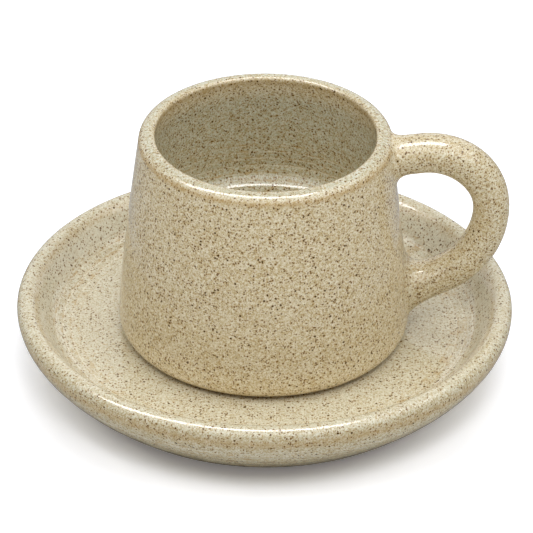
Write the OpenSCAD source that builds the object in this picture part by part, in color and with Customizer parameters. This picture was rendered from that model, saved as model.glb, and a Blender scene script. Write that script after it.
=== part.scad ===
/* [Saucer] */
// Diameter over the rim
saucer_d = 124; // [112:1:150]
// Height from the table to the top of the rim
saucer_h = 22; // [19:0.5:28]
// Thickness of the rounded rim
saucer_rim_t = 5; // [4:0.1:6]
// Height of the flat floor above the table
saucer_floor_h = 13; // [11:0.5:15]
// Thickness of the floor inside the foot
saucer_floor_t = 5; // [4:0.1:6]
// Diameter of the flat floor inside the slope
saucer_flat_d = 98; // [84:1:102]
// Outer diameter of the glazed wall where the bare clay starts
saucer_heel_d = 96.4; // [84:0.2:104]
// Outer diameter of the face that the saucer stands on
saucer_foot_d = 87; // [74:1:90]
// Width of the face that the saucer stands on
saucer_foot_w = 4.5; // [3:0.1:7]
// Height of the bare clay at the bottom of the foot
saucer_bare_h = 2.4; // [1.5:0.1:3.5]

/* [Cup] */
// Height of the cup alone
cup_h = 55.6; // [50:0.1:66]
// Outer diameter at the rim
cup_rim_d = 63; // [58:0.1:68]
// Largest outer diameter, low on the belly
cup_belly_d = 72.9; // [69:0.1:80]
// Lean of the wall just below the rim, in degrees
cup_lean = 7.3; // [3:0.1:10]
// Outer roundness of the lip
cup_lip_r = 2.55; // [1.8:0.05:3.2]
// Inner roundness of the lip
cup_lip_inner_r = 1.35; // [0.8:0.05:2]
// Thickness of the wall at the shoulder of the bowl
cup_wall_t = 4.4; // [3.4:0.1:6]
// Height above the foot at which the inner wall turns into the bottom
bowl_shoulder_h = 29; // [22:0.5:34]
// Height of the lowest inner point above the foot
bowl_low_h = 16.5; // [12:0.5:20]
// Roundness of the edge between the belly and the foot
cup_edge_r = 4.9; // [3.5:0.1:7]
// Outer diameter of the face that the cup stands on
cup_foot_d = 63.1; // [54:0.1:66]
// Width of the face that the cup stands on
cup_foot_w = 3.6; // [2.5:0.1:6]
// Height of the bare clay at the bottom of the cup
cup_bare_h = 0.9; // [0.7:0.1:1.5]
// Depth of the hollow under the cup
cup_recess_h = 5.5; // [3:0.5:8]

/* [Handle] */
// Thickness of the round handle
handle_t = 9.6; // [8:0.1:11]
// Clear width between the belly and the inside of the handle
finger_gap = 14.5; // [12:0.5:20]
// Drop from the rim to the middle of the upper arm
upper_arm_drop = 5.9; // [5:0.1:9]
// Height from the foot of the cup to the middle of the lower arm
lower_arm_h = 15.2; // [12:0.1:18]
// Rise of the upper arm away from the cup, in degrees
upper_tilt = 6; // [0:1:12]
// Rise of the lower arm away from the cup, in degrees
lower_tilt = 25; // [12:1:35]
// Size of the clay fillet worked round each root
join_r = 3.2; // [2:0.1:4.5]
// Thinnest edge of that fillet
join_edge = 0.3; // [0.2:0.05:0.5]

/* [Hidden] */
$fn = 96;
arc_steps = 8;
curve_steps = 14;

glaze_colour = [0.79, 0.73, 0.60];
clay_colour = [0.66, 0.55, 0.43];

// Saucer: middle of the rolled rim and the two curves that leave it
saucer_r = saucer_d / 2;
saucer_rim_r = saucer_rim_t / 2;
saucer_rim_z = saucer_h - saucer_rim_r;
saucer_rim_turn = 130;
wall_drop_share = 0.32;
wall_run_share = 0.41;
heel_slope = 38;
slope_pull_share = 0.42;
floor_pull_share = 0.34;
foot_lean_share = 0.35;

// Cup: heights above the table
cup_z = saucer_floor_h;
cup_top = cup_z + cup_h;
lip_c = cup_rim_d / 2 - cup_lip_r;
belly_r = cup_belly_d / 2;
edge_turn = acos(1 - cup_bare_h / cup_edge_r);
wall_top_share = 0.45;
wall_low_share = 0.25;
wall_bow_share = 0.05;
bowl_drop_share = 0.5;
bowl_run_share = 0.66;
recess_lean_share = 0.5;

// Handle: the bends follow from the two arms and the finger gap
handle_r = handle_t / 2;
reach = max(belly_r, cup_rim_d / 2) + finger_gap + handle_r;
lower_bend_share = 1.41;
arm_lap_share = 0.1;
arm_step = 0.02;
upper_z = cup_top - upper_arm_drop;
lower_z = cup_z + lower_arm_h;
bend_r = (upper_z - lower_z) / (cos(upper_tilt) + lower_bend_share * cos(lower_tilt));
low_bend_r = bend_r * lower_bend_share;
mid_z = upper_z - bend_r * cos(upper_tilt);

function bezier(a, b, c, d) = [for (i = [1:curve_steps]) let (t = i / curve_steps)
    pow(1 - t, 3) * a + 3 * t * pow(1 - t, 2) * b + 3 * t * t * (1 - t) * c + pow(t, 3) * d];
function arc(c, r, from, to) = [for (i = [0:arc_steps]) let (t = from + (to - from) * i / arc_steps)
    c + r * [cos(t), sin(t)]];
function last(list) = list[len(list) - 1];
function along(angle, length) = length * [cos(angle), sin(angle)];

// Saucer outline, from the rim inwards over the floor and back out under the foot
rim_c = [saucer_r - saucer_rim_r, saucer_rim_z];
rim_in = rim_c + along(saucer_rim_turn, saucer_rim_r);
flat_edge = [saucer_flat_d / 2, saucer_floor_h];
heel = [saucer_heel_d / 2, saucer_bare_h];
foot_r = saucer_foot_d / 2;
foot_in_r = foot_r - saucer_foot_w;
under_z = saucer_floor_h - saucer_floor_t;
slope_h = rim_in[1] - saucer_floor_h;
slope_run = rim_in[0] - flat_edge[0];
wall_h = saucer_rim_z - saucer_bare_h;
saucer_rim_pts = arc(rim_c, saucer_rim_r, 0, saucer_rim_turn);
saucer_slope_pts = bezier(rim_in,
    rim_in - along(saucer_rim_turn - 90, norm([slope_h, slope_run]) * slope_pull_share),
    flat_edge + [norm([slope_h, slope_run]) * floor_pull_share, 0], flat_edge);
saucer_wall_pts = bezier(heel, heel + along(heel_slope, wall_h * wall_run_share / cos(heel_slope)),
    [saucer_r, saucer_rim_z - wall_h * wall_drop_share], [saucer_r, saucer_rim_z]);
foot_lean = (under_z - saucer_bare_h) * foot_lean_share;

module saucer_dish() {
    color(glaze_colour) rotate_extrude()
        polygon(concat([for (i = [0:len(saucer_rim_pts) - 1]) saucer_rim_pts[i]], saucer_slope_pts,
            [[0, saucer_floor_h], [0, under_z], [foot_in_r - foot_lean, under_z],
            [foot_in_r, saucer_bare_h], heel],
            [for (i = [0:len(saucer_wall_pts) - 2]) saucer_wall_pts[i]]));
}

module saucer_foot_ring() {
    color(clay_colour) rotate_extrude()
        polygon([[foot_in_r, 0], [foot_r, 0], heel, [foot_in_r, saucer_bare_h]]);
}

// Cup outline: lip, wall and the rounded edge that runs from the belly down to the foot
cup_foot_r = cup_foot_d / 2;
lip_out = [lip_c, cup_top - cup_lip_r] + along(cup_lean, cup_lip_r);
belly = [belly_r, cup_z + cup_edge_r];
wall_l = norm(lip_out - belly);
cup_wall_pts = bezier(lip_out, lip_out + along(cup_lean - 90, wall_l * wall_top_share),
    belly + wall_l * wall_low_share * [-wall_bow_share, 1], belly);
cup_edge_pts = [for (i = [1:arc_steps]) let (t = (edge_turn - 90) * i / arc_steps)
    [cup_foot_r + (belly_r - cup_foot_r) * cos(t), belly[1] + cup_edge_r * sin(t)]];
cup_outer_pts = concat(arc([lip_c, cup_top - cup_lip_r], cup_lip_r, 90, cup_lean),
    cup_wall_pts, cup_edge_pts);
bare_r = last(cup_outer_pts)[0];

// Radius of the outer wall at a height, read from its own points
wall_table = [for (i = [curve_steps - 1:-1:0]) [cup_wall_pts[i][1], cup_wall_pts[i][0]]];
function wall_r(z) = lookup(z, wall_table);

// Where each arm meets its bend, and the height at which its middle meets the wall
upper_x = reach - bend_r * (1 + sin(upper_tilt));
lower_x = reach - low_bend_r * (1 - sin(lower_tilt));
upper_root_z = upper_z - (upper_x - wall_r(upper_z)) * tan(upper_tilt);
lower_root_z = lower_z - (lower_x - wall_r(lower_z)) * tan(lower_tilt);

// Bowl outline: down the inner wall to its shoulder, then in to the lowest point
lip_in = [lip_c - cup_lip_inner_r, cup_top - cup_lip_inner_r];
shoulder_z = cup_z + bowl_shoulder_h;
shoulder = [wall_r(shoulder_z) - cup_wall_t, shoulder_z];
bowl_low = [0, cup_z + bowl_low_h];
bowl_h = bowl_shoulder_h - bowl_low_h;
cup_inner_pts = concat([[0, bowl_low[1]]],
    bezier(bowl_low, [shoulder[0] * bowl_run_share, bowl_low[1]],
    shoulder - [0, bowl_h * bowl_drop_share], shoulder),
    arc([lip_c, lip_in[1]], cup_lip_inner_r, 180, 90));
cup_foot_in_r = cup_foot_r - cup_foot_w;
recess_z = cup_z + cup_recess_h;
recess_lean = (cup_recess_h - cup_bare_h) * recess_lean_share;

module cup_solid() {
    rotate_extrude()
        polygon(concat([[0, cup_top]], cup_outer_pts, [[0, cup_z + cup_bare_h]]));
}

module cup_body() {
    color(glaze_colour) rotate_extrude()
        polygon(concat(cup_inner_pts, [for (i = [1:len(cup_outer_pts) - 1]) cup_outer_pts[i]],
            [[cup_foot_in_r, cup_z + cup_bare_h], [cup_foot_in_r - recess_lean, recess_z],
            [0, recess_z]]));
}

module cup_foot_ring() {
    color(clay_colour) rotate_extrude()
        polygon([[cup_foot_in_r, cup_z], [cup_foot_r, cup_z], [bare_r, cup_z + cup_bare_h],
            [cup_foot_in_r, cup_z + cup_bare_h]]);
}

// One straight arm, from just inside its bend back into the wall of the cup
module arm(x, z, tilt) {
    length = (x - wall_r(z) + cup_wall_t) / cos(tilt);
    lap = handle_r * arm_lap_share;
    translate([x, 0, z]) rotate([0, -90 - tilt, 0])
        translate([0, 0, -lap]) cylinder(r = handle_r - arm_step, h = length + lap);
}

// One bend, turned about its own centre in the plane of the handle
module bend(x, r, from, sweep) {
    translate([x, 0, mid_z]) rotate([90, 0, 0])
        rotate_extrude(angle = sweep, start = from) translate([r, 0]) circle(r = handle_r);
}

module upper_half() {
    bend(reach - bend_r, bend_r, 0, 90 + upper_tilt);
    arm(upper_x, upper_z, upper_tilt);
}

module lower_half() {
    bend(reach - low_bend_r, low_bend_r, lower_tilt - 90, 90 - lower_tilt);
    arm(lower_x, lower_z, lower_tilt);
}

module handle() {
    color(glaze_colour) difference() {
        union() {
            upper_half();
            lower_half();
        }
        cup_solid();
    }
}

// Flared collar of clay whose narrow end lies on the arm and whose wide end lies on the wall
module flare(z, tilt) {
    wide_r = handle_r + join_r + join_edge;
    translate([wall_r(z), 0, z]) rotate([0, 90 - tilt, 0]) rotate_extrude() difference() {
        translate([0, -cup_wall_t / 2]) square([wide_r, join_r + cup_wall_t / 2]);
        translate([wide_r, join_r + join_edge]) circle(r = join_r);
    }
}

module upper_handle_join() {
    color(glaze_colour) difference() {
        flare(upper_root_z, upper_tilt);
        upper_half();
        cup_solid();
        translate([0, -belly_r, cup_top - cup_lip_r]) cube([reach, 2 * belly_r, belly_r]);
    }
}

module lower_handle_join() {
    color(glaze_colour) difference() {
        flare(lower_root_z, lower_tilt / 2);
        lower_half();
        cup_solid();
    }
}

saucer_dish();
saucer_foot_ring();
cup_body();
cup_foot_ring();
handle();
upper_handle_join();
lower_handle_join();
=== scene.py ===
import math

import bpy
import numpy as np
from mathutils import Matrix, Vector


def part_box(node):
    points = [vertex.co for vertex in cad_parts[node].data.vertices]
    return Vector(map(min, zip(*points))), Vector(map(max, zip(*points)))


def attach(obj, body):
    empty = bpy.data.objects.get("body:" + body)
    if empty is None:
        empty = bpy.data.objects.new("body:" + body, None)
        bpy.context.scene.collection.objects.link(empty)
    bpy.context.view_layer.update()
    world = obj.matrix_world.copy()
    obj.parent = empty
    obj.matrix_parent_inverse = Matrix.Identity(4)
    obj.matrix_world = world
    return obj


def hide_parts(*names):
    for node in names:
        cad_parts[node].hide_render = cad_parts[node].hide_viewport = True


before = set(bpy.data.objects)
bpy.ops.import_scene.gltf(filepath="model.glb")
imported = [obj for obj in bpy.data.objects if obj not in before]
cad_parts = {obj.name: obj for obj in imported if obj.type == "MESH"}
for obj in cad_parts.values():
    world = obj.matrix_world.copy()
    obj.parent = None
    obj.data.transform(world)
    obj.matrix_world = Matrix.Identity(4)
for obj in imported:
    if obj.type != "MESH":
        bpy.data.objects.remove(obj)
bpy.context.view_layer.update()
boxes = {node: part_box(node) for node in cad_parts}  # lowest and highest corner of each CAD node
mm = 0.001
print("frame loaded")


# Curves and surfaces, worked out as whole arrays in metres

def bezierRun(start, pullStart, pullEnd, end, count=60):
    # cubic curve: four points weighed by the powers of t and 1 - t
    t = np.linspace(0, 1, count)[:, None]
    start, pullStart, pullEnd, end = (np.array(p, float) for p in (start, pullStart, pullEnd, end))
    return ((1 - t) ** 3 * start + 3 * t * (1 - t) ** 2 * pullStart
            + 3 * t * t * (1 - t) * pullEnd + t ** 3 * end)


def arcRun(centre, radius, first, last, count=30):
    # circle: centre plus radius times (cosine, sine) of an angle that runs from first to last, in degrees
    turn = np.radians(np.linspace(first, last, count))[:, None]
    return np.array(centre, float) + radius * np.hstack([np.cos(turn), np.sin(turn)])


def lineRun(start, end, count=40):
    # straight line: start times 1 - t plus end times t
    t = np.linspace(0, 1, count)[:, None]
    return np.array(start, float) * (1 - t) + np.array(end, float) * t


def headingOf(degrees):
    # unit step (cosine, sine) along an angle
    return np.array([math.cos(math.radians(degrees)), math.sin(math.radians(degrees))])


def arcLength(points):
    # running sum of the distances between neighbours
    return np.concatenate([[0], np.cumsum(np.linalg.norm(np.diff(points, axis=0), axis=1))])


def evenRun(points, step):
    # the same line with points at even distances along it
    length = arcLength(points)
    at = np.linspace(0, length[-1], int(round(length[-1] / step)) + 1)
    return np.stack([np.interp(at, length, column) for column in points.T], 1)


def bellMean(points, reach):
    # mean of each point and its neighbours up to reach places away, weighed by a bell; both ends drop off
    weights = np.hanning(2 * reach + 3)[1:-1]
    return np.stack([np.convolve(column, weights / weights.sum(), "valid") for column in points.T], 1)


def softRun(points, softness, step):
    # the line with every corner eased: each point is the mean of the line over one softness around it
    reach = 5
    run = evenRun(points, softness / (2 * reach))
    mirror = np.array([-1, 1])  # beyond the axis the line goes on as its own mirror image
    eased = bellMean(np.vstack([run[reach:0:-1] * mirror, run, run[-2:-2 - reach:-1] * mirror]), reach)
    eased[[0, -1], 0] = 0
    return evenRun(eased, step)


def bandAlong(profile, corner, band):
    # bell curve of the distance along the profile from the place nearest to the corner moved aside and up
    aside, above, width = band
    length = arcLength(profile)
    place = np.array([corner[0] + aside, corner[1] + above])
    nearest = length[np.argmin(np.linalg.norm(profile - place, axis=1))]
    return np.exp(-((length - nearest) / width) ** 2)


def makePiece(name, vertices, faces, attributes=None):
    # a smooth mesh from plain arrays, with its faces turned outwards by the sign of its volume
    same = faces[:, 0] == faces[:, 1]
    last = faces[:, 2] == faces[:, 3]
    quads = faces[~same & ~last]
    triangles = np.vstack([faces[same][:, 1:], faces[last][:, :3]])
    halves = np.vstack([quads[:, :3], quads[:, [0, 2, 3]], triangles])
    corners = vertices[halves]
    volume = np.einsum("ij,ij->i", corners[:, 0], np.cross(corners[:, 1], corners[:, 2])).sum()
    if volume < 0:
        quads, triangles = quads[:, ::-1], triangles[:, ::-1]
    used = np.unique(halves)
    place = np.zeros(len(vertices), int)
    place[used] = np.arange(len(used))
    mesh = bpy.data.meshes.new(name)
    mesh.from_pydata(vertices[used].tolist(), [], place[quads].tolist() + place[triangles].tolist())
    mesh.polygons.foreach_set("use_smooth", np.ones(len(mesh.polygons), bool))
    for label, values in (attributes or {}).items():
        layer = mesh.attributes.new(label, "FLOAT", "POINT")
        layer.data.foreach_set("value", values[used].astype(np.float32))
    mesh.update()
    piece = bpy.data.objects.new(name, mesh)
    bpy.context.scene.collection.objects.link(piece)
    return piece


def gridFaces(rows, columns, ringed=False):
    # four corners for each cell of a grid whose rows run round and close, and whose columns close if ringed
    row, column = np.meshgrid(np.arange(rows), np.arange(columns if ringed else columns - 1), indexing="ij")
    nextRow, nextColumn = (row + 1) % rows, (column + 1) % columns
    faces = np.stack([row * columns + column, nextRow * columns + column,
                      nextRow * columns + nextColumn, row * columns + nextColumn], -1).reshape(-1, 4)
    if not ringed:  # the first and the last column each fall together in a pole
        faces[faces % columns == 0] = 0
        faces[faces % columns == columns - 1] = columns - 1
    return faces


def latheSurface(name, profile, turns, shift=None, attributes=None):
    # surface of revolution: (r cos a, r sin a, z) with r and z moved by a small hand-made shift of (a, r, z)
    angle = np.linspace(0, 2 * np.pi, turns, endpoint=False)[:, None]
    radius, height = profile[:, 0][None, :], profile[:, 1][None, :]
    outwards, upwards = shift(angle, radius, height) if shift else (0, 0)
    radius, height = radius + outwards + 0 * angle, height + upwards + 0 * angle
    vertices = np.stack([radius * np.cos(angle), radius * np.sin(angle), height], -1)
    ringed = profile[0, 0] > 0
    if not ringed:
        vertices[:, [0, -1]] = vertices[:, [0, -1]].mean(0)
    spread = {label: np.tile(values, turns) for label, values in (attributes or {}).items()}
    return makePiece(name, vertices.reshape(-1, 3), gridFaces(turns, len(profile), ringed), spread)


# Wobble of hand-made ware, which never takes the outside past its measured size

def slowWaves(angle, depth, phases):
    # minus depth times the mean of (1 + cosine) / 2 over waves of 2, 3 and 5 to the turn
    total = sum((1 + np.cos(count * angle + phase)) / 2 for count, phase in zip((2, 3, 5), phases))
    return -depth * total / len(phases)


def throwingRings(angle, place, pitch, depth):
    # minus depth times (1 + sine) / 2 of the place along the wall, one pitch per turn, so it is a spiral
    return -depth * (1 + np.sin(2 * np.pi * place / pitch + angle)) / 2


def windowOf(values, low, high, edge):
    # rises from 0 to 1 at low and falls back at high, each over one edge
    rise = np.clip((values - low) / edge, 0, 1)
    fall = np.clip((high - values) / edge, 0, 1)
    return rise * rise * (3 - 2 * rise) * fall * fall * (3 - 2 * fall)


# Saucer. A span gives where something starts, where it ends and how softly.
# A band gives a place, aside and up from a corner of the profile, and the width of what it marks there.

saucerLook = {
    "rimRound": 2.5 * mm, "rimTurn": 130, "floorHeight": 13 * mm, "floorThick": 5 * mm,
    "flatRadius": 46.5 * mm, "slopePull": 0.36, "floorPull": 0.58,  # the slope, eased into the flat floor
    "heelSlope": 38, "wallRun": 0.41, "wallDrop": 0.32,  # the outer wall, from the foot up to the rim
    "footRadius": 43.5 * mm, "footWidth": 4.5 * mm, "footLean": 0.35, "footRound": 1.1 * mm, "footTurns": 240,
    "softness": 0.8 * mm, "step": 0.6 * mm, "turns": 320,
    "wobble": 0.12 * mm, "wobbleRadius": 60 * mm, "wobbleAbove": 15 * mm,
    "wavesOut": (0.4, 2.1, 4.0), "wavesUp": (1.3, 0.2, 2.6),  # where round the piece the slow waves start
    "ringPitch": 2.6 * mm, "ringDepth": 0.05 * mm, "floorRings": 0.2, "wallSpan": (3 * mm, 17.5 * mm, 3 * mm),
    "floorSpan": (12 * mm, 47 * mm, 8 * mm), "floorLayer": (12 * mm, 14 * mm, 0.5 * mm),
    "outerEdge": (-0.2 * mm, -3.6 * mm, 1.5 * mm), "innerEdge": (-4.6 * mm, -1.2 * mm, 1.0 * mm),
    "crest": (-2.5 * mm, 0, 1.8 * mm), "outerThin": 0.75, "innerThin": 0.45,
    "speckShare": 0.76, "crestClear": 0.15, "thickShare": 0.55, "lineSpan": (4 * mm, 17.5 * mm, 2.5 * mm),
    "milkShare": 0.65, "milkFloor": 0.3, "slopeMilkAndLight": 0.7,  # the slope is milkier than the floor; the extra milk there is painted light
    "innerLevel": 0.95, "innerPast": 0.5 * mm, "innerSoft": 3 * mm,
    "slopeFrom": 5 * mm, "slopeShort": 3.5 * mm, "slopeSoft": 4.5 * mm,
}


def saucerProfile(look):
    # rim arc, slope, flat floor, underside, foot and outer wall, fitted to the boxes of the CAD nodes
    high = boxes["saucer_dish"][1]
    heelCorner = boxes["saucer_foot_ring"][1]
    rimRadius, rimTop, heelRadius, heelHeight = high.x, high.z, heelCorner.x, heelCorner.z
    rimCentre = np.array([rimRadius - look["rimRound"], rimTop - look["rimRound"]])
    rim = arcRun(rimCentre, look["rimRound"], 0, look["rimTurn"])
    flatEdge = np.array([look["flatRadius"], look["floorHeight"]])
    reach = np.linalg.norm(rim[-1] - flatEdge)
    slope = bezierRun(rim[-1], rim[-1] - reach * look["slopePull"] * headingOf(look["rimTurn"] - 90),
                      flatEdge + [reach * look["floorPull"], 0], flatEdge)
    heel = np.array([heelRadius, heelHeight])
    wallHeight = rimCentre[1] - heelHeight
    lean = headingOf(look["heelSlope"])
    wall = bezierRun(heel, heel + wallHeight * look["wallRun"] / lean[0] * lean,
                     [rimRadius, rimCentre[1] - wallHeight * look["wallDrop"]], [rimRadius, rimCentre[1]])
    under = look["floorHeight"] - look["floorThick"]
    footInner = look["footRadius"] - look["footWidth"]
    footLean = (under - heelHeight) * look["footLean"]
    hollow = [[footInner, heelHeight], [footInner - footLean, under], [0, under]]
    return np.vstack([[[0, look["floorHeight"]]], slope[::-1], rim[-2::-1], wall[-2::-1], hollow])


def saucerShift(angle, radius, height):
    # slow waves that grow with the radius, and rings on the outer wall and faintly on the floor
    look = saucerLook
    share = np.clip(radius / look["wobbleRadius"], 0, 1) ** 2
    wall = windowOf(height, *look["wallSpan"]) * (radius > look["flatRadius"])
    floor = windowOf(radius, *look["floorSpan"]) * windowOf(height, *look["floorLayer"])
    outwards = slowWaves(angle, look["wobble"], look["wavesOut"]) * share
    outwards = outwards + throwingRings(angle, height, look["ringPitch"], look["ringDepth"]) * wall
    upwards = slowWaves(angle, look["wobble"], look["wavesUp"]) * share * (height > look["wobbleAbove"])
    floorDepth = look["floorRings"] * look["ringDepth"]
    upwards = upwards + throwingRings(angle, radius, 2 * look["ringPitch"], floorDepth) * floor
    return outwards, upwards


def makeSaucer():
    # the profile turned about the axis, with how thin, tinted, milky, lined and specked the glaze is along
    # it; the slope's extra milk is painted light
    look = saucerLook
    profile = softRun(saucerProfile(look), look["softness"], look["step"])
    radius, height = profile.T
    rim = boxes["saucer_dish"][1]
    outerEdge, innerEdge, crest = (bandAlong(profile, (rim.x, rim.z), look[band])
                                   for band in ("outerEdge", "innerEdge", "crest"))
    thin = np.clip(look["outerThin"] * outerEdge + look["innerThin"] * innerEdge, 0, 1)
    wall = windowOf(height, *look["lineSpan"]) * (radius > look["flatRadius"])
    inner = windowOf(radius, -look["innerSoft"], rim.x + look["innerPast"], look["innerSoft"])
    inner = inner * (height > look["innerLevel"] * look["floorHeight"])
    # painted light: the slope takes more milk than the floor, which lightens it where less light reaches it
    slope = windowOf(radius, look["flatRadius"] + look["slopeFrom"], rim.x - look["slopeShort"],
                     look["slopeSoft"]) * inner
    milk = look["milkShare"] * (look["milkFloor"] * inner + look["slopeMilkAndLight"] * slope)
    dish = latheSurface("glazedSaucer", profile, look["turns"], saucerShift, {
        "thinGlaze": thin, "thickGlaze": np.full(len(profile), look["thickShare"]), "milkGlaze": milk,
        "speckShare": look["speckShare"] - look["crestClear"] * crest, "ringZone": wall,
        "alongWall": arcLength(profile)})
    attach(dish, "saucer")
    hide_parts("saucer_dish")
    return dish


def makeRing(name, node, body, look):
    # a bare foot ring: a closed outline from the glaze edge down to the standing face, eased and turned
    low, high = boxes[node]
    outer, inner = look["footRadius"], look["footRadius"] - look["footWidth"]
    outline = np.array([[inner, high.z], [inner, low.z], [outer, low.z], [high.x, high.z], [inner, high.z]])
    reach, fineSteps, steps = 6, 8, 3  # points that ease a corner on each side, and steps to one rounding
    fine = evenRun(outline, look["footRound"] / fineSteps)[:-1]
    eased = bellMean(np.vstack([fine[-reach:], fine, fine[:reach]]), reach)
    profile = evenRun(np.vstack([eased, eased[:1]]), look["footRound"] / steps)[:-1]
    profile[:, 1] = np.clip(profile[:, 1], low.z, high.z)
    ring = latheSurface(name, profile, look["footTurns"])
    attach(ring, body)
    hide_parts(node)
    return ring


# Cup. Its heights and spans are measured up from the cup's foot.

cupLook = {
    "height": 55.6 * mm, "rimRadius": 31.5 * mm, "mouthRadius": 27.35 * mm,
    "lipRound": 2.55 * mm, "lipInner": 0.8 * mm,
    "lean": 7.3, "wallThick": 4.4 * mm, "wallTop": 0.45, "wallLow": 0.25, "wallBow": 0.05,
    "wallPoints": 120,
    "shoulder": 28.9 * mm, "bowlLow": 16.5 * mm, "bowlCorner": 5.3 * mm, "bowlTurn": 75,
    "bowlPull": (0.26, 0.17), "edgeRound": 4.9 * mm, "recess": 5.5 * mm, "recessLean": 0.5,
    "footRadius": 31.55 * mm, "footWidth": 3.6 * mm, "footRound": 0.45 * mm, "footTurns": 200,
    "softness": 0.5 * mm, "step": 0.58 * mm, "turns": 256,
    "skin": 2 * mm,  # what lies further than this inside the outer wall belongs to the bowl
    "wobble": 0.1 * mm, "wavesOut": (0.9, 1.7, 3.1), "wavesUp": (2.2, 0.7, 1.1),
    "lipSpan": (50 * mm, 99 * mm, 5 * mm),
    "handleDent": 0.32 * mm, "dentWidth": 0.15, "dentSpan": (18 * mm, 50 * mm, 12 * mm),
    "ringPitch": 2.3 * mm, "ringDepth": 0.07 * mm, "ringSpan": (16 * mm, 36 * mm, 6 * mm),
    "ringStart": 12 * mm,
    "outerEdge": (-0.3 * mm, -1.7 * mm, 0.65 * mm), "innerEdge": (0, -1.3 * mm, 0.9 * mm),
    "lowEdge": (-1.5 * mm, 1.2 * mm, 1.4 * mm), "crest": (-1.9 * mm, 0, 1.6 * mm),
    # below the lip the bowl is tinted darker and greener: partly a glaze tone, partly painted shade of the
    # cup's inside; the crest is tinted darker too
    "innerThin": 0.8, "lowThin": 0.4, "crestDarker": 0.9, "bowlShadeDrop": 3.0 * mm, "bowlShadeSoft": 4 * mm,
    "speckShare": 1.0, "crestClear": 0.45, "lineSpan": (17.1 * mm, 37 * mm, 4 * mm),
}


def cupOutline(look):
    # outer wall from the top of the lip down to the glaze edge, and the heights of the foot and the lip
    low, high = boxes["cup_body"]
    top, belly = high.z, -low.x
    foot = top - look["height"]
    lip = look["rimRadius"] - look["lipRound"], top - look["lipRound"]
    lipArc = arcRun(lip, look["lipRound"], 90, look["lean"])
    bellyPoint = np.array([belly, foot + look["edgeRound"]])
    length = np.linalg.norm(lipArc[-1] - bellyPoint)
    wall = bezierRun(lipArc[-1], lipArc[-1] + length * look["wallTop"] * headingOf(look["lean"] - 90),
                     bellyPoint + length * look["wallLow"] * np.array([-look["wallBow"], 1]), bellyPoint,
                     look["wallPoints"])
    turn = math.degrees(math.acos(1 - (low.z - foot) / look["edgeRound"])) - 90
    edge = arcRun([look["footRadius"], bellyPoint[1]], look["edgeRound"], 0, turn)
    return np.vstack([lipArc, wall[1:], edge[1:]]), foot, top


cupWall = cupOutline(cupLook)[0][::-1]


def wallRadius(height):
    # radius of the outer wall at a height, read from the outline
    return np.interp(height, cupWall[:, 1], cupWall[:, 0])


def cupProfile(look):
    # bowl as a curve and a corner arc, inner wall, lip, outer wall, and the hollow under the cup
    outer, foot, top = cupOutline(look)
    shoulderHeight = foot + look["shoulder"]
    shoulder = np.array([wallRadius(shoulderHeight) - look["wallThick"], shoulderHeight])
    lowest = foot + look["bowlLow"]
    corner = arcRun(shoulder - [look["bowlCorner"], 0], look["bowlCorner"], -look["bowlTurn"], 0)
    fall = math.tan(math.radians(90 - look["bowlTurn"]))
    near, far = look["bowlPull"]
    bowl = np.vstack([bezierRun([0, lowest], [near * corner[0, 0], lowest],
                                corner[0] - far * corner[0, 0] * np.array([1, fall]), corner[0]), corner[1:]])
    lipInner = look["lipInner"]
    inner = arcRun([look["mouthRadius"] + lipInner, top - lipInner], lipInner, 180, 90)
    glazeEdge = outer[-1, 1]
    footInner = look["footRadius"] - look["footWidth"]
    hollowTop = foot + look["recess"]
    lean = (hollowTop - glazeEdge) * look["recessLean"]
    hollow = [[footInner, glazeEdge], [footInner - lean, hollowTop], [0, hollowTop]]
    return np.vstack([bowl, lineRun(shoulder, inner[0])[1:], inner[1:], outer[1:], hollow])


def cupShift(angle, radius, height):
    # slow waves of the wall, a slight dent where the handle was pressed on, and spiral rings inside the bowl
    look = cupLook
    rise = height - boxes["cup_foot_ring"][0].z
    inside = radius < wallRadius(height) - look["skin"]
    outwards = slowWaves(angle, look["wobble"], look["wavesOut"]) * np.clip(rise / look["height"], 0, 1)
    side = np.exp((np.cos(angle) - 1) / look["dentWidth"])  # bell around the handle's side
    outwards = outwards - look["handleDent"] * side * (1 + windowOf(rise, *look["dentSpan"]))
    bowl = windowOf(rise, *look["ringSpan"]) * inside * np.clip(radius / look["ringStart"], 0, 1)
    outwards = outwards - throwingRings(angle, height, look["ringPitch"], look["ringDepth"]) * bowl
    upwards = slowWaves(angle, look["wobble"], look["wavesUp"]) * windowOf(rise, *look["lipSpan"])
    return outwards, upwards


def wallAt(y, z):
    # distance out from the axis, along x, of the wall's point at a given y and z, wobble included
    radius = wallRadius(z)
    angle = np.arcsin(np.clip(y / radius, -1, 1))
    radius = radius + cupShift(angle, radius, z)[0]
    return np.sqrt(radius ** 2 - y ** 2)


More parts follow.
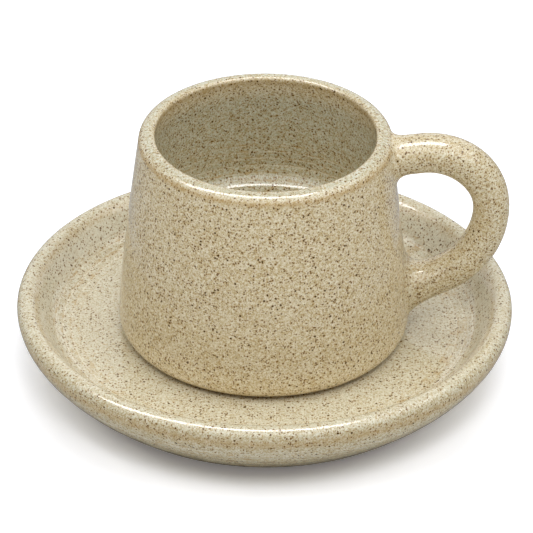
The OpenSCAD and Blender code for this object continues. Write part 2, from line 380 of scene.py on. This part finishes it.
def makeCup():
    # the profile turned about the axis, with how thin, tinted, lined and specked the glaze is along it; the
    # darker tint inside the bowl below the lip is painted shade
    look = cupLook
    profile = softRun(cupProfile(look), look["softness"], look["step"])
    radius, height = profile.T
    low, high = boxes["cup_body"]
    foot = high.z - look["height"]
    outerEdge, crest = (bandAlong(profile, (look["rimRadius"], high.z), look[band])
                        for band in ("outerEdge", "crest"))
    innerEdge = bandAlong(profile, (look["mouthRadius"], high.z), look["innerEdge"])
    lowEdge = bandAlong(profile, (-low.x, foot), look["lowEdge"])
    thin = np.clip(outerEdge + look["innerThin"] * innerEdge + look["lowThin"] * lowEdge, 0, 1)
    inside = radius < wallRadius(height) - look["skin"]
    rings = windowOf(height - foot, *look["lineSpan"]) * inside
    # painted shade: the inside of the bowl is darker and greener from a little below the lip down
    poolTintAndShade = inside * np.clip((high.z - look["bowlShadeDrop"] - height) / look["bowlShadeSoft"], 0, 1)
    thick = np.maximum(poolTintAndShade, look["crestDarker"] * crest)
    cup = latheSurface("glazedCup", profile, look["turns"], cupShift, {
        "thinGlaze": thin, "thickGlaze": thick, "milkGlaze": 0 * thin,
        "speckShare": look["speckShare"] - look["crestClear"] * crest, "ringZone": rings,
        "alongWall": arcLength(profile)})
    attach(cup, "cup")
    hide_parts("cup_body")
    return cup


# Handle

handleLook = {
    "thick": 4.8 * mm, "upperDrop": 5.35 * mm, "lowerRise": 15.2 * mm, "upperTilt": 7.5, "lowerTilt": 25,
    "lowerBend": 1.39, "upperArm": 3.4 * mm, "lowerArm": 12.5 * mm, "armPoints": 12, "bendPoints": 90,
    # share of the way along the handle, and half the bar's height there
    "halves": [(0, 4.9 * mm), (0.15, 4.9 * mm), (0.28, 5.05 * mm), (0.52, 4.45 * mm), (0.8, 4.65 * mm),
               (1, 4.65 * mm)],
    "crossHalf": 5.0 * mm, "step": 0.55 * mm, "around": 112, "easeReach": 14,
    "alongWall": 3.2 * mm, "upperTuck": 0.62, "tuckPower": 1.5, "lowerFlare": 1.5, "rootTop": 1.15 * mm,
    "rootReach": 30 * mm, "rootHalvings": 40, "rootSteps": 20, "sunk": 0.5 * mm,
    "glaze": {"thinGlaze": 0, "thickGlaze": 0.15, "milkGlaze": 0, "speckShare": 0.95, "ringZone": 0,
              "alongWall": 0},
}


def handlePath(look):
    # centre line in the plane of the handle: arm, upper bend, lower bend, arm; and the heading of each arm
    foot, top = boxes["cup_foot_ring"][0].z, boxes["cup_body"][1].z
    reach = boxes["handle"][1].x - look["thick"]
    upperZ, lowerZ = top - look["upperDrop"], foot + look["lowerRise"]
    armTop, armLow = headingOf(look["upperTilt"]), headingOf(look["lowerTilt"])
    bend = (upperZ - lowerZ) / (armTop[0] + look["lowerBend"] * armLow[0])
    lowBend = bend * look["lowerBend"]
    middle = upperZ - bend * armTop[0]
    upper = arcRun([reach - bend, middle], bend, 90 + look["upperTilt"], 0, look["bendPoints"])
    lower = arcRun([reach - lowBend, middle], lowBend, 0, look["lowerTilt"] - 90, look["bendPoints"])
    ends = (upper[0], armTop, look["upperArm"]), (lower[-1], armLow, look["lowerArm"])
    startTop, startLow = (end - arm * max(end[0] - wallRadius(end[1]) - spare, 0) / arm[0]
                          for end, arm, spare in ends)  # back along the arm until the wall is near
    path = np.vstack([lineRun(startTop, upper[0], look["armPoints"])[:-1], upper, lower[1:],
                      lineRun(lower[-1], startLow, look["armPoints"])[1:]])
    return evenRun(path, look["step"]), armTop, armLow


def rootRings(ring, arm, look, top):
    # fillet of one root: quadratic curves from the last ring's points along the arm and out over the wall
    direction = np.array([arm[0], 0, arm[1]])
    low, high = np.zeros(len(ring)), np.full(len(ring), look["rootReach"])
    for _ in range(look["rootHalvings"]):  # closes in on where each line along the arm meets the wall
        half = (low + high) / 2
        at = ring - half[:, None] * direction
        outside = at[:, 0] > wallAt(at[:, 1], at[:, 2])
        low, high = np.where(outside, half, low), np.where(outside, high, half)
    corner = ring - ((low + high) / 2)[:, None] * direction
    spread = ring - ring.mean(0)
    spread = spread / np.linalg.norm(spread, axis=1)[:, None]
    upper = np.clip(spread[:, 2], 0, 1)
    if top:  # tucked in under the lip
        reach = look["alongWall"] * (1 - look["upperTuck"] * upper ** look["tuckPower"])
    else:  # drawn up the wall
        reach = look["alongWall"] * (1 + look["lowerFlare"] * upper)
    target = corner + spread * reach[:, None]
    target[:, 2] = np.minimum(target[:, 2], boxes["cup_body"][1].z - look["rootTop"])
    target[:, 0] = wallAt(target[:, 1], target[:, 2])
    t = np.linspace(0, 1, look["rootSteps"])[1:, None, None]
    rings = (1 - t) ** 2 * ring + 2 * t * (1 - t) * corner + t ** 2 * target
    inwards = -target * [1, 1, 0] / np.linalg.norm(target[:, :2], axis=1)[:, None]
    sunk = target + inwards * look["sunk"]
    pole = np.repeat(sunk.mean(0)[None] - [look["sunk"], 0, 0], len(ring), 0)
    return np.concatenate([rings, sunk[None], pole[None]])


def makeHandle():
    # an oval ring carried along the path, square to it, with a fillet at each end
    look = handleLook
    path, armTop, armLow = handlePath(look)
    ahead = np.gradient(path, axis=0)
    ahead /= np.linalg.norm(ahead, axis=1)[:, None]
    across = np.stack([-ahead[:, 1], ahead[:, 0]], 1)
    share = arcLength(path) / arcLength(path)[-1]
    half = np.interp(share, *zip(*look["halves"]))
    half = bellMean(np.pad(half, look["easeReach"], "edge")[:, None], look["easeReach"])
    angle = np.linspace(0, 2 * np.pi, look["around"], endpoint=False)[None, :]
    inPlane, sideways = half * np.cos(angle), look["crossHalf"] * np.sin(angle) + 0 * half
    rings = np.stack([path[:, :1] + across[:, :1] * inPlane, sideways,
                      path[:, 1:] + across[:, 1:] * inPlane], -1)
    topRoot = rootRings(rings[0], armTop, look, True)[::-1]
    lowRoot = rootRings(rings[-1], armLow, look, False)
    grid = np.concatenate([topRoot, rings, lowRoot]).transpose(1, 0, 2)
    rows, columns = grid.shape[:2]
    handle = makePiece("glazedHandle", grid.reshape(-1, 3), gridFaces(rows, columns),
                       {label: np.full(rows * columns, value) for label, value in look["glaze"].items()})
    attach(handle, "cup")
    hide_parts("handle", "upper_handle_join", "lower_handle_join")
    return handle


saucerDish = makeSaucer()
saucerFoot = makeRing("bareSaucerFoot", "saucer_foot_ring", "saucer", saucerLook)
cup = makeCup()
cupFoot = makeRing("bareCupFoot", "cup_foot_ring", "cup", cupLook)
handle = makeHandle()
print("pieces made")


# Materials

class Wire:
    # one socket of a node tree: sums and products on it add Math nodes
    def __init__(self, finish, socket):
        self.finish, self.socket = finish, socket

    def math(self, operation, first, second, clamp=False):
        settings = {"operation": operation, "use_clamp": clamp}
        return self.finish.node("ShaderNodeMath", settings, {0: first, 1: second})

    def __add__(self, other):
        return self.math("ADD", self, other)

    __radd__ = __add__

    def __sub__(self, other):
        return self.math("SUBTRACT", self, other)

    def __rsub__(self, other):
        return self.math("SUBTRACT", other, self)

    def __mul__(self, other):
        return self.math("MULTIPLY", self, other)

    __rmul__ = __mul__

    def __truediv__(self, other):
        return self.math("DIVIDE", self, other)

    def __gt__(self, other):
        return self.math("GREATER_THAN", self, other)

    def fraction(self):
        return self.math("FRACT", self, 0.0)

    def clamped(self):
        return self.math("ADD", self, 0.0, True)

    def above(self, level, slope):
        # 0 up to the level, then rises to 1
        return ((self - level) * slope).clamped()

    def lineAt(self, level, sharpness):
        # 1 at the level, falling to 0 on both sides of it
        return (1 - self.math("ABSOLUTE", self - level, 0.0) * sharpness).clamped()

    def others(self, *labels):
        # further outputs of the node that this socket belongs to
        return [Wire(self.finish, self.socket.node.outputs[label]) for label in labels]


class Finish:
    # the node tree of one material, or of the world
    def __init__(self, owner):
        self.owner = owner
        owner.use_nodes = True
        self.tree = owner.node_tree
        self.tree.nodes.clear()

    def node(self, kind, settings=None, values=None, out=0):
        # a new node with its settings, then the values or links of its sockets; gives back one of its outputs
        made = self.tree.nodes.new(kind)
        for key, value in (settings or {}).items():
            if key == "stops":
                stops = made.color_ramp.elements
                for _ in value[2:]:  # a new ramp has two stops
                    stops.new(1.0)
                for stop, (place, colour) in zip(stops, value):
                    stop.position, stop.color = place, colour
            else:
                setattr(made, key, value)
        for key, value in (values or {}).items():
            if isinstance(value, Wire):
                self.tree.links.new(value.socket, made.inputs[key])
            else:
                made.inputs[key].default_value = value
        return Wire(self, made.outputs[out]) if len(made.outputs) else made

    def mixed(self, share, first, second, blend="MIX"):
        # sockets 0, 6 and 7 are the share and the two colours, and output 2 is the colour
        settings = {"data_type": "RGBA", "blend_type": blend}
        return self.node("ShaderNodeMix", settings, {0: share, 6: first, 7: second}, 2)

    def painted(self, label):
        # a value that the mesh carries as an attribute
        return self.node("ShaderNodeAttribute", {"attribute_name": label}, out="Fac")

    def noise(self, place, size, detail, out=0):
        # values round 0.5, in lumps about one size across
        values = {"Vector": place, "Scale": 1 / size, "Detail": detail}
        return self.node("ShaderNodeTexNoise", None, values, out)

    def bumped(self, height, depth):
        # the normal of a surface that rises by depth times the height
        values = {"Strength": 1.0, "Distance": depth, "Height": height}
        return self.node("ShaderNodeBump", None, values, "Normal")

    def finished(self, shader):
        self.node("ShaderNodeOutputMaterial", None, {0: shader})
        return self.owner


def placeInMillimetres(finish):
    # object coordinates, so that pattern sizes read in millimetres
    place = finish.node("ShaderNodeTexCoord", out="Object")
    return finish.node("ShaderNodeVectorMath", {"operation": "SCALE"}, {0: place, "Scale": 1 / mm})


def moved(finish, place, away):
    # the same place, pushed by a vector
    return finish.node("ShaderNodeVectorMath", {"operation": "ADD"}, {0: place, 1: away})


# the smallest radius as a share of the size, and how far and how softly a speck bleeds, in millimetres
speckLook = {"leastGirth": 0.45, "bleed": 0.14, "bleedEdge": 0.2}


def specks(finish, place, look, share=1):
    # little balls strewn in space, one to a cell: where the surface cuts one it shows a speck and its bleed
    cells = finish.node("ShaderNodeTexVoronoi", {"feature": "F1"},
                        {"Vector": moved(finish, place, look["away"]), "Scale": 1 / look["spacing"]})
    distance, colour = cells.others("Distance", "Color")
    distance = distance * look["spacing"]
    chance, girth = finish.node("ShaderNodeSeparateColor", None, {0: colour}).others(0, 1)
    radius = look["size"] * (speckLook["leastGirth"] + girth)
    there = chance > 1 - share * look["share"]
    bleed = ((radius + speckLook["bleed"] - distance) / speckLook["bleedEdge"]).clamped() * there
    return ((radius - distance) / look["edge"]).clamped() * there, bleed


glazeLook = {  # sizes in millimetres
    "bendSize": 0.9, "bend": 0.5, "grainSize": 0.62, "fineSize": 0.34, "fineAway": (31, 17, 5),
    "cloudSize": 3.2, "slowSize": 20, "fieldWeights": (0.62, 0.68, 0.13, 0.04),  # grain, fine, cloud, slow
    "ramp": [(0.34, (0.440, 0.318, 0.148, 1)), (0.43, (0.540, 0.433, 0.240, 1)),
             (0.50, (0.622, 0.533, 0.345, 1)), (0.58, (0.684, 0.610, 0.430, 1)),
             (0.68, (0.77, 0.715, 0.55, 1))],
    # a darker, greener tint: a glaze tone on the saucer and the handle, and painted shade inside the cup's
    # bowl
    "poolTintAndShade": (0.77, 0.855, 0.94, 1), "milk": (0.77, 0.755, 0.64, 1), "milkLeast": 0.5,
    "tan": (0.44, 0.29, 0.105, 1), "pale": (0.80, 0.75, 0.60, 1),
    "thinSize": 1.6, "thinLeast": 0.45, "thinTint": 0.75,
    # veins, each a level of one noise and how sharply it stands out there; the tan ones are broken up
    "wormSize": 1.0, "tanWorms": (0.47, 22), "tanWormTint": 0.6, "paleWorms": (0.54, 24), "paleWormTint": 0.5,
    "breakSize": 1.3, "breakAway": (7, 29, 13), "breaks": (0.42, 5),
    # throwing lines, a pitch apart along the wall and swayed by streaks that are drawn out round it
    "ringPitch": 2.1, "sway": 0.5, "stretch": (0.3, 0.3, 1.9), "streakSize": 1.0, "streakGain": 1.6,
    "ridge": (0.5, 9), "ridgeLess": 0.4, "groove": (0.3, 8), "grooveMore": 1.25,
    "streaks": (0.56, 9), "streakTint": 0.45,
    "browns": {"spacing": 0.48, "size": 0.15, "edge": 0.04, "share": 0.64, "away": (3.3, 9.1, 4.4)},
    "darks": {"spacing": 0.66, "size": 0.19, "edge": 0.04, "share": 0.70, "away": (13.1, 2.7, 5.3)},
    "irons": {"spacing": 1.08, "size": 0.22, "edge": 0.05, "share": 0.56, "away": (5.5, 1.9, 8.2)},
    "brown": (0.25, 0.125, 0.02, 1), "dark": (0.125, 0.054, 0.002, 1), "iron": (0.07, 0.030, 0.001, 1),
    # a speck's tint where few are about, and what a crowd of them adds
    "crowd": (0.3, 2.4), "brownTint": (0.5, 0.4), "darkTint": (0.75, 0.25),
    "ironTint": 0.97, "bleedTint": 0.5,
    "rippleSize": 2.4, "rippleHeight": 0.6, "pitSize": 0.4, "pitHeight": 0.1, "ironSink": 0.12,
    "relief": 0.018 * mm,
    "rough": 0.06, "roughSize": 1.1, "roughVary": 0.08, "ironRough": 0.15, "ior": 1.46,
}


def speckledGlaze():
    # a field of fine and coarser grain and slow clouds, read through a ramp, under three sizes of specks
    look = glazeLook
    finish = Finish(bpy.data.materials.new("speckledGlaze"))
    place = placeInMillimetres(finish)
    push = finish.node("ShaderNodeVectorMath", {"operation": "MULTIPLY_ADD"},
                       {0: finish.noise(place, look["bendSize"], detail=2, out="Color"),
                        1: (look["bend"],) * 3, 2: (-look["bend"] / 2,) * 3})
    loose = moved(finish, place, push)
    grain = finish.noise(loose, look["grainSize"], detail=2)
    fine = finish.noise(moved(finish, loose, look["fineAway"]), look["fineSize"], detail=1)
    cloud = finish.noise(place, look["cloudSize"], detail=2)
    slow = finish.noise(place, look["slowSize"], detail=1)
    field = 0.5
    for layer, weight in zip((grain, fine, cloud, slow), look["fieldWeights"]):
        field = field + (layer - 0.5) * weight
    base = finish.node("ShaderNodeValToRGB", {"stops": look["ramp"]}, {0: field})

    # where the glaze is tinted darker and greener (inside the cup's bowl that tint is painted shade), turns
    # milky (on the saucer's slope partly painted light) or runs thin over an edge
    thin, thick, milk, share, zone, along = (finish.painted(label) for label in (
        "thinGlaze", "thickGlaze", "milkGlaze", "speckShare", "ringZone", "alongWall"))
    # painted shade inside the cup's bowl, and a plain darker tone elsewhere
    base = finish.mixed(thick, base, look["poolTintAndShade"], "MULTIPLY")
    # milky tone, stronger on the saucer's slope, where the extra is painted light
    base = finish.mixed((milk * (look["milkLeast"] + cloud)).clamped(), base, look["milk"])
    thinner = (thin * (look["thinLeast"] + finish.noise(loose, look["thinSize"], detail=2))).clamped()
    base = finish.mixed(thinner * look["thinTint"], base, look["tan"])

    # fine veins
    worms = finish.noise(loose, look["wormSize"], detail=1)
    broken = finish.noise(moved(finish, place, look["breakAway"]), look["breakSize"], detail=1)
    broken = broken.above(*look["breaks"])
    base = finish.mixed(worms.lineAt(*look["tanWorms"]) * broken * look["tanWormTint"], base, look["tan"])
    base = finish.mixed(worms.lineAt(*look["paleWorms"]) * look["paleWormTint"], base, look["pale"])

    # throwing lines: where the wall was drawn up, glaze thins on the ridges and pools pale in the grooves
    drawn = finish.node("ShaderNodeVectorMath", {"operation": "MULTIPLY"}, {0: place, 1: look["stretch"]})
    streak = finish.noise(drawn, look["streakSize"], detail=2)
    turn = (along * (1 / mm / look["ringPitch"]) + streak * look["sway"]).fraction()
    ridge = (streak * look["streakGain"] - look["ridgeLess"]).clamped()
    groove = (look["grooveMore"] - streak * look["streakGain"]).clamped()
    base = finish.mixed(turn.lineAt(*look["ridge"]) * zone * ridge, base, look["tan"])
    base = finish.mixed(turn.lineAt(*look["groove"]) * zone * groove, base, look["pale"])
    base = finish.mixed(streak.above(*look["streaks"]) * zone * look["streakTint"], base, look["tan"])

    # specks, darker where they crowd, and the tan that bleeds from the larger ones
    (browns, _), (darks, darkBleed), (irons, ironBleed) = (
        specks(finish, loose, look[label], share) for label in ("browns", "darks", "irons"))
    crowd = cloud.above(*look["crowd"])
    base = finish.mixed((darkBleed + ironBleed).clamped() * look["bleedTint"], base, look["tan"])
    for speck, tint, colour in ((browns, "brownTint", "brown"), (darks, "darkTint", "dark")):
        least, more = look[tint]
        base = finish.mixed(speck * (least + more * crowd), base, look[colour])
    base = finish.mixed(irons * look["ironTint"], base, look["iron"])

    ripple = finish.noise(place, look["rippleSize"], detail=2)
    pits = finish.noise(place, look["pitSize"], detail=1)
    height = ripple * look["rippleHeight"] + pits * look["pitHeight"] - irons * look["ironSink"]
    normal = finish.bumped(height, look["relief"])
    vary = finish.noise(place, look["roughSize"], detail=2)
    rough = look["rough"] + vary * look["roughVary"] + irons * look["ironRough"]
    return finish.finished(finish.node("ShaderNodeBsdfPrincipled", None, {
        "Base Color": base, "Roughness": rough, "Normal": normal, "IOR": look["ior"]}))


clayLook = {  # sizes in millimetres
    "clay": (0.42, 0.30, 0.20, 1), "light": (0.52, 0.40, 0.28, 1), "grog": (0.18, 0.11, 0.06, 1),
    "patchSize": 3.5, "patches": (0.3, 2.4), "sandSize": 0.35, "sand": (0.55, 5), "sandTint": 0.35,
    "grogs": {"spacing": 1.1, "size": 0.3, "edge": 0.12, "share": 0.6, "away": (2.5, 4.1, 6.6)},
    "grogTint": 0.8, "grogHeight": 0.3, "relief": 0.12 * mm, "rough": 0.75, "roughVary": 0.2,
}


def bareClay():
    # two shades of clay in patches, pale sand grains and dark grog
    look = clayLook
    finish = Finish(bpy.data.materials.new("bareClay"))
    place = placeInMillimetres(finish)
    sand = finish.noise(place, look["sandSize"], detail=3)
    patches = finish.noise(place, look["patchSize"], detail=3).above(*look["patches"])
    base = finish.mixed(patches, look["clay"], look["light"])
    base = finish.mixed(sand.above(*look["sand"]) * look["sandTint"], base, look["light"])
    grog = specks(finish, place, look["grogs"])[0]
    base = finish.mixed(grog * look["grogTint"], base, look["grog"])
    height = sand + grog * look["grogHeight"]
    normal = finish.bumped(height, look["relief"])
    return finish.finished(finish.node("ShaderNodeBsdfPrincipled", None, {
        "Base Color": base, "Roughness": look["rough"] + sand * look["roughVary"], "Normal": normal}))


def paint(piece, material):
    # the material in place of any that the piece has
    piece.data.materials.clear()
    piece.data.materials.append(material)


glaze, clay = speckledGlaze(), bareClay()
for piece in (saucerDish, cup, handle):
    paint(piece, glaze)
for piece in (saucerFoot, cupFoot):
    paint(piece, clay)
print("materials made")


# Floor, light and camera

stageLook = {
    "floorSize": 6.0, "floorSeen": 1.16, "floorTint": (0.985, 1.0, 1.05), "floorGlow": 0.1,
    "floorShone": 0.4, "floorBounce": 0.82, "ambient": 0.31, "background": 1.0,
}


def makeFloor(look):
    # white to the camera, and greyer to reflections and for the light that it throws back on the object
    finish = Finish(bpy.data.materials.new("floorWhite"))
    seen, thrown = finish.node("ShaderNodeLightPath").others("Is Camera Ray", "Is Diffuse Ray")
    shone, bounced = ((look[key],) * 3 + (1,) for key in ("floorShone", "floorBounce"))
    white = tuple(look["floorSeen"] * tint for tint in look["floorTint"]) + (1,)
    colour = finish.mixed(seen, finish.mixed(thrown, shone, bounced), white)
    paper = finish.node("ShaderNodeBsdfDiffuse", None, {"Color": colour})
    glow = finish.node("ShaderNodeEmission", None,
                       {"Color": (1, 1, 1, 1), "Strength": seen * look["floorGlow"]})
    half = look["floorSize"] / 2
    corners = half * np.array([[-1, -1, 0], [1, -1, 0], [1, 1, 0], [-1, 1, 0]])
    floor = makePiece("floor", corners, np.array([[0, 1, 2, 3]]))
    paint(floor, finish.finished(finish.node("ShaderNodeAddShader", None, {0: paper, 1: glow})))


def makeWorld(look):
    # white behind the object and in what glass and gloss show, and a weaker even light on the object
    world = bpy.data.worlds.new("studio")
    bpy.context.scene.world = world
    finish = Finish(world)
    seen, *others = finish.node("ShaderNodeLightPath").others(
        "Is Camera Ray", "Is Glossy Ray", "Is Transmission Ray")
    for ray in others:
        seen = seen.math("MAXIMUM", seen, ray)
    strength = finish.node("ShaderNodeMapRange", None,
                           {"Value": seen, "To Min": look["ambient"], "To Max": look["background"]})
    background = finish.node("ShaderNodeBackground", None, {"Strength": strength})
    finish.node("ShaderNodeOutputWorld", None, {0: background})


# Four soft lamps give the light, and three white panels only show in the glaze.
# The way is an azimuth, from the front round to the right, and an elevation, both in degrees.
lampLook = {
    "key": {"way": (4, 55), "distance": 1.4, "size": (0.42, 0.38), "power": 4.8},
    "side": {"way": (-60, 55), "distance": 1.4, "size": (0.75, 0.7), "power": 6.0},
    "fill": {"way": (68, 53), "distance": 1.4, "size": (1.0, 1.0), "power": 7.3},
    "top": {"way": (180, 70), "distance": 1.5, "size": (1.3, 1.1), "power": 8.1},
    "shine": {"way": (0, 89), "distance": 1.4, "size": (1.9, 0.42), "power": 37, "panel": True,
              "aside": -0.42},
    "veil": {"way": (0, 70), "distance": 1.5, "size": (4.6, 2.6), "power": 88, "panel": True},
    "back": {"way": (180, 30), "distance": 1.6, "size": (3.4, 1.5), "power": 8, "panel": True},
}
lampAim = Vector((0, 0, 0.03))


def makeLamp(name, way, distance, size, power, aside=0, panel=False):
    # a soft box that looks at the aim from (sine, minus cosine) of its azimuth, lifted by its elevation
    azimuth, elevation = np.radians(way)
    flat = math.cos(elevation)
    away = distance * Vector((math.sin(azimuth) * flat, -math.cos(azimuth) * flat, math.sin(elevation)))
    lamp = bpy.data.lights.new(name, "AREA")
    lamp.shape = "RECTANGLE"
    lamp.size, lamp.size_y = size
    lamp.energy = power
    holder = bpy.data.objects.new(name, lamp)
    bpy.context.scene.collection.objects.link(holder)
    holder.location = lampAim + away + Vector((aside, 0, 0))
    holder.rotation_euler = (-away).to_track_quat("-Z", "Y").to_euler()
    holder.visible_glossy, holder.visible_diffuse = panel, not panel


cameraLook = {  # focal length and middle in pixels of the photograph, sensor in millimetres
    "elevation": 32.22, "distance": 1106.8 * mm, "focal": 4430, "middle": (264.9, 285.16), "roll": 0.62,
    "aim": (0, 0, 24.5 * mm), "pixels": 533, "sensor": 36, "clip": (0.05, 20),
}


def makeCamera(look):
    # stands back from the aim at the photograph's height angle, and looks past it by the middle's offset
    lift = math.radians(look["elevation"])
    back = Vector((0, -math.cos(lift), math.sin(lift)))
    up = Vector((0, math.sin(lift), math.cos(lift)))
    centre = look["pixels"] / 2
    aside = (centre - look["middle"][0]) / look["focal"]
    above = (look["middle"][1] - centre) / look["focal"]
    camera = bpy.data.cameras.new("camera")
    camera.sensor_width = look["sensor"]
    camera.lens = look["focal"] / look["pixels"] * look["sensor"]
    camera.clip_start, camera.clip_end = look["clip"]
    holder = bpy.data.objects.new("camera", camera)
    bpy.context.scene.collection.objects.link(holder)
    sight = -back + up * above + Vector((1, 0, 0)) * aside
    turn = sight.to_track_quat("-Z", "Y").to_matrix().to_4x4()
    roll = Matrix.Rotation(math.radians(look["roll"]), 4, "Z")
    holder.matrix_world = Matrix.Translation(Vector(look["aim"]) + back * look["distance"]) @ turn @ roll
    bpy.context.scene.camera = holder


makeFloor(stageLook)
makeWorld(stageLook)
for lamp, settings in lampLook.items():
    makeLamp(lamp + "Lamp", **settings)
makeCamera(cameraLook)
bpy.context.scene.view_settings.view_transform = "Standard"
print("stage set")
